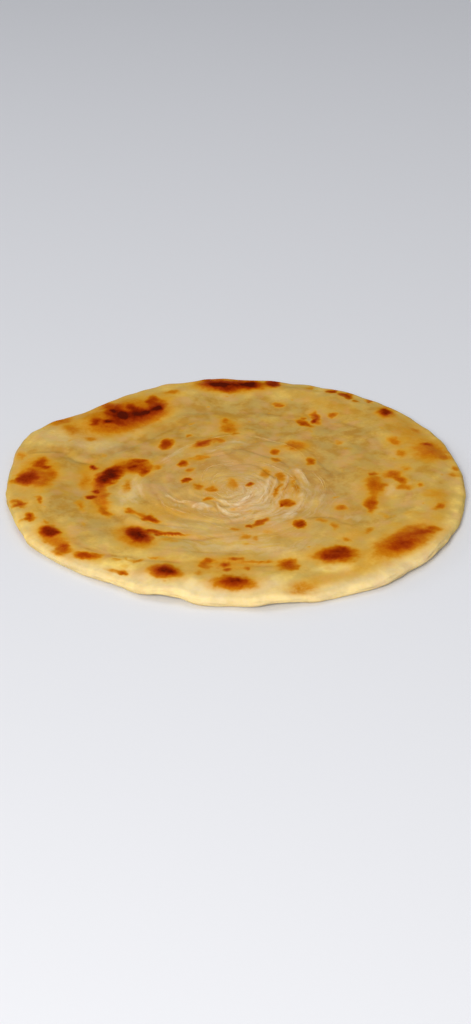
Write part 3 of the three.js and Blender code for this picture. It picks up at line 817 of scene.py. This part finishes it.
class Shade:
    # one socket of a node tree: + - * / and ** on it add Math nodes, and node() adds any other node
    def __init__(self, tree, socket=None):
        self.tree = tree
        self.socket = socket

    def node(self, kind, settings=None, inputs=None, out=0):
        made = self.tree.nodes.new(kind)
        for name, value in (settings or {}).items():
            if name == "stops":
                for stop, (position, colour) in zip(rampStops(made.color_ramp, len(value)), value):
                    stop.position, stop.color = position, colour
            else:
                setattr(made, name, value)
        for name, value in (inputs or {}).items():
            if isinstance(value, Shade):
                self.tree.links.new(value.socket, made.inputs[name])
            else:
                made.inputs[name].default_value = value
        return Shade(self.tree, made.outputs[out] if made.outputs else None)

    def maths(self, operation, first, second=0.0, clamp=False):
        settings = {"operation": operation, "use_clamp": clamp}
        return self.node("ShaderNodeMath", settings, {0: first, 1: second})

    def __add__(self, other):
        return self.maths("ADD", self, other)

    def __sub__(self, other):
        return self.maths("SUBTRACT", self, other)

    def __rsub__(self, other):
        return self.maths("SUBTRACT", other, self)

    def __mul__(self, other):
        return self.maths("MULTIPLY", self, other)

    def __truediv__(self, other):
        return self.maths("DIVIDE", self, other)

    def __pow__(self, other):
        return self.maths("POWER", self, other)

    __radd__ = __add__
    __rmul__ = __mul__

    def clamped(self):
        return self.maths("ADD", self, 0.0, clamp=True)

    def part(self, axis):  # a vector's x, y or z
        return self.node("ShaderNodeSeparateXYZ", inputs={"Vector": self}, out=axis)

    def between(self, low, high):  # 0 at low and 1 at high, smooth at both ends
        return self.node("ShaderNodeMapRange", {"interpolation_type": "SMOOTHSTEP"},
                         {"Value": self, "From Min": low, "From Max": high})

    def mixed(self, first, second):  # the first colour at 0 and the second at 1
        return self.node("ShaderNodeMix", {"data_type": "RGBA"}, {0: self, 6: first, 7: second}, out=2)

    def noise(self, length, detail=2.0):  # over these places, with features of about this length in mm
        inputs = {"Vector": self, "Scale": 1000 / length, "Detail": detail}
        return self.node("ShaderNodeTexNoise", {"noise_dimensions": "3D"}, inputs)

    def mark(self, name):  # one of the numbers that the mesh carries at its points
        settings = {"attribute_type": "GEOMETRY", "attribute_name": name}
        return self.node("ShaderNodeAttribute", settings, out=2)


def rampStops(ramp, count):
    while len(ramp.elements) < count:
        ramp.elements.new(1.0)
    return ramp.elements


def colour(red, green, blue):  # screen values from 0 to 255, turned into the linear ones that nodes take
    screen = np.array((red, green, blue)) / 255
    linear = np.where(screen > 0.04, ((screen + 0.055) / 1.055) ** 2.4, screen / 12.92)
    return (*linear.tolist(), 1.0)


bakedDough = {
    "pale": colour(238, 206, 112),
    "tan": colour(179, 133, 52),
    "oilyYellow": colour(208, 163, 60),
    "pinkish": colour(206, 154, 102),
    "greenish": colour(189, 162, 91),
    "dry": colour(238, 220, 182),
    "golden": colour(212, 148, 46),
    "crust": [  # how dark the browning is, and its colour
        (0.00, colour(214, 170, 58)), (0.20, colour(210, 148, 22)), (0.35, colour(196, 120, 16)),
        (0.50, colour(182, 94, 8)), (0.62, colour(166, 68, 5)), (0.75, colour(148, 49, 4)),
        (0.86, colour(130, 36, 3)), (0.95, colour(106, 25, 4)), (1.00, colour(84, 21, 8)),
    ],
    "shares": {  # how strongly each colour covers what lies under it
        "oilyYellow": 0.5, "greenish": 0.6, "pinkish": 0.42, "pinkishHeart": 0.2, "dry": 0.66, "golden": 0.38,
    },
    "eaten": {"ragged": 0.2, "speckled": 0.06, "cloudy": 0.24},  # how far noise eats into the browned marks
    "uneven": {"mottled": 0.32, "wide": 0.68, "fine": 0.45, "streaks": 0.6},  # how far it changes the tan
    "brokenDry": {"streaks": 0.34, "fine": 0.5, "flour": 0.16},
    "relief": {"grain": 0.045, "pores": 0.03, "streaks": 0.07, "char": 0.1},  # in mm
    "poreLength": 2.3,
    "streaks": {  # how often they change round the heart and outwards, and how far they sway in metres
        "turns": 2.5, "steps": 15, "sway": 0.012,
    },
    "roughness": 0.46,
    "coatRoughness": 0.32,
    "coat": 0.15,
    "glow": {"weight": 0.12, "radius": (1.0, 0.55, 0.2), "scale": 0.0022},  # light that soaks into the dough
}


def raggedBrowning(place):
    # the browned marks, with noise eaten into them where they are strong enough to show, and the rough char
    eaten, flat = bakedDough["eaten"], place.mark("browning")
    ragged = place.noise(1.1, 3.0) - 0.5
    speckled = place.noise(0.45) - 0.5
    cloudy = place.noise(2.6) - 0.5
    bites = ragged * eaten["ragged"] + speckled * eaten["speckled"] + cloudy * eaten["cloudy"]
    return (flat + bites * flat.between(0.04, 0.5)).clamped(), ragged * flat.between(0.3, 0.8)


def heartStreaks(place):
    # the distance from the heart, and streaks that run round it: noise over (turns * cos a, turns * sin a,
    # steps * log(distance)), with a the direction, read at places that sway to and fro
    turns, steps, sway = (bakedDough["streaks"][kind] for kind in ("turns", "steps", "sway"))
    heartX, heartY = bread["coil"]["heart"]
    fromHeartX = place.part(0) - (heartX - middle[0]) * mm + (place.noise(14, 1.0) - 0.5) * sway
    fromHeartY = place.part(1) - (heartY - middle[1]) * mm + (place.noise(11, 1.0) - 0.5) * sway
    distance = (fromHeartX * fromHeartX + fromHeartY * fromHeartY) ** 0.5 + 0.0005
    rounds = place.node("ShaderNodeCombineXYZ", inputs={
        "X": fromHeartX / distance * turns,
        "Y": fromHeartY / distance * turns,
        "Z": place.maths("LOGARITHM", distance * 1000, math.e) * steps,
    })
    inputs = {"Vector": rounds, "Scale": 1.0, "Detail": 3.0, "Distortion": 0.5}
    return distance, place.node("ShaderNodeTexNoise", {"noise_dimensions": "3D"}, inputs)


def tintedDough(place, distance, streaks, mottled, fine):
    # pale to tan, then tinted in patches, and rosier at the heart
    shares, uneven = bakedDough["shares"], bakedDough["uneven"]
    # the tan mark also carries painted shade: the darker rear, the seams' and grooves' lines and the valleys
    tan = place.mark("tan") + mottled * uneven["mottled"] + (place.noise(9, 1.0) - 0.5) * uneven["wide"]
    tan = tan + (fine - 0.5) * uneven["fine"] + streaks * uneven["streaks"]
    base = tan.clamped().mixed(bakedDough["pale"], bakedDough["tan"])
    yellow = place.noise(8.0, 1.5).between(0.5, 0.7) * shares["oilyYellow"]
    green = place.noise(6.5).between(0.38, 0.66) * shares["greenish"]
    rosy = place.noise(7.5, 1.5).between(0.48, 0.7) * shares["pinkish"]
    rosy = rosy + (1 - distance.between(0.02, 0.065)) * shares["pinkishHeart"]
    base = green.mixed(yellow.mixed(base, bakedDough["oilyYellow"]), bakedDough["greenish"])
    return rosy.mixed(base, bakedDough["pinkish"])


def brokenSkin(place, distance, streaks, fine):
    # the dry skin, broken up by the streaks and by fine noise, with a little flour left at the heart
    broken, whole = bakedDough["brokenDry"], place.mark("dry")
    gaps = (1 - streaks.between(0.38, 0.6)) * (1 - distance.between(0.045, 0.07)) * broken["streaks"]
    gaps = gaps + (place.noise(1.6) - 0.5) * whole.between(0, 0.4) * broken["fine"]
    flour = fine.between(0.42, 0.72) * (1 - distance.between(0.025, 0.06)) * broken["flour"]
    return (whole - gaps + flour).clamped()


def fineRelief(place, streaks, char):  # flour grain, pores, the streaks and the char's roughness
    relief = bakedDough["relief"]
    inputs = {"Vector": place, "Scale": 1000 / bakedDough["poreLength"], "Smoothness": 0.6}
    pores = place.node("ShaderNodeTexVoronoi", {"feature": "SMOOTH_F1"}, inputs)
    height = place.noise(0.8, 3.0) * relief["grain"] + pores * relief["pores"]
    height = height + streaks * relief["streaks"] + char * relief["char"]
    return place.node("ShaderNodeBump", inputs={"Strength": 0.8, "Distance": mm, "Height": height})


def makeDough():
    look, shares = bakedDough, bakedDough["shares"]
    material = bpy.data.materials.new("baked_dough")
    material.use_nodes = True
    material.node_tree.nodes.clear()
    place = Shade(material.node_tree).node("ShaderNodeTexCoord", out=3)
    brown, char = raggedBrowning(place)
    distance, streaks = heartStreaks(place)
    aroundHeart = 1 - distance.between(0.02, 0.07) * 0.75
    mottled = place.noise(3.5, 3.0) - 0.5
    fine = place.noise(1.4, 3.0)

    # from the dough up: its tints, the dry skin, the golden halo and the browned crust
    base = tintedDough(place, distance, (streaks - 0.5) * aroundHeart, mottled, fine)
    dry = brokenSkin(place, distance, streaks, fine)
    base = (dry * shares["dry"]).mixed(base, look["dry"])
    base = (place.mark("halo").between(0.08, 0.7) * shares["golden"]).mixed(base, look["golden"])
    crust = place.node("ShaderNodeValToRGB", {"stops": look["crust"]}, {"Fac": brown})
    base = brown.between(0.03, 0.36).mixed(base, crust)

    oily = place.mark("oily")
    shader = place.node("ShaderNodeBsdfPrincipled", inputs={
        "Base Color": base, "Normal": fineRelief(place, streaks * aroundHeart, char),
        "Roughness": look["roughness"] + mottled * 0.2 - oily * 0.12 + dry * 0.2 + brown * 0.06,
        "Coat Weight": oily * (1 - brown) * look["coat"], "Coat Roughness": look["coatRoughness"],
        "Subsurface Weight": look["glow"]["weight"], "Subsurface Radius": look["glow"]["radius"],
        "Subsurface Scale": look["glow"]["scale"], "Specular IOR Level": 0.0,
    })
    place.node("ShaderNodeOutputMaterial", inputs={"Surface": shader})
    return material


dough = makeDough()
for piece in (breadPiece, edgesPiece):
    piece.data.materials.append(dough)
    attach(piece, "root")
    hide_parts("paratha")
print("dough finished and set on the bread")


# Floor, light and camera

studio = {
    "floor": colour(226, 228, 234),
    "floorRoughness": 0.75,
    "floorReach": 12.0,  # in metres, to each side
    "sky": colour(234, 235, 238),
    "skyStrength": 0.44,
    "lamps": [  # name, place in metres, size, power and colour
        ("front_softbox", (-0.3, -1.15, 0.8), 0.55, 15.4, (1.0, 0.97, 0.92)),
        ("top_softbox", (0.15, 0.25, 1.4), 0.9, 2.8, (1.0, 1.0, 1.0)),
        ("left_fill", (-1.1, 0.35, 0.5), 0.5, 1.8, (0.95, 0.97, 1.0)),
    ],
}


def setAndAimed(thing, place, target):  # a lamp or camera put at a place and turned towards another one
    thing.location = place
    thing.rotation_mode = "QUATERNION"
    thing.rotation_quaternion = (target - place).to_track_quat("-Z", "Y")


def makeStudio():
    reach = studio["floorReach"]
    corners = [(-reach, -reach, 0), (reach, -reach, 0), (reach, reach, 0), (-reach, reach, 0)]
    floorMesh = bpy.data.meshes.new("floor")
    floorMesh.from_pydata(corners, [], [(0, 1, 2, 3)])
    floor = added("floor", floorMesh)
    paper = bpy.data.materials.new("pale_floor")
    paper.use_nodes = True
    sockets = paper.node_tree.nodes["Principled BSDF"].inputs
    sockets["Base Color"].default_value = studio["floor"]
    sockets["Roughness"].default_value = studio["floorRoughness"]
    floorMesh.materials.append(paper)
    world = bpy.data.worlds.new("studio")
    world.use_nodes = True
    sky = world.node_tree.nodes["Background"].inputs
    sky["Color"].default_value = studio["sky"]
    sky["Strength"].default_value = studio["skyStrength"]
    bpy.context.scene.world = world
    for name, place, size, power, tint in studio["lamps"]:
        lamp = bpy.data.lights.new(name, "AREA")
        lamp.shape, lamp.size, lamp.energy, lamp.color = "DISK", size, power, tint
        setAndAimed(added(name, lamp), Vector(place), Vector((0, 0, 0)))
    bpy.context.scene.view_settings.view_transform = "Standard"


def makeCamera():
    lens = bpy.data.cameras.new("camera")
    lens.sensor_width = shot["sensor"]
    lens.lens = shot["focalPixels"] * shot["sensor"] / shot["longSidePixels"]
    lens.clip_start = shot["nearest"]
    camera = added("camera", lens)
    high = math.radians(shot["elevation"])
    aim = Vector(((shot["aim"][0] - middle[0]) * mm, (shot["aim"][1] - middle[1]) * mm, 0))
    back = Vector((0, -math.cos(high), math.sin(high)))
    setAndAimed(camera, aim + back * shot["distance"], aim)
    bpy.context.scene.camera = camera


makeStudio()
makeCamera()
print("floor, lamps and camera set")
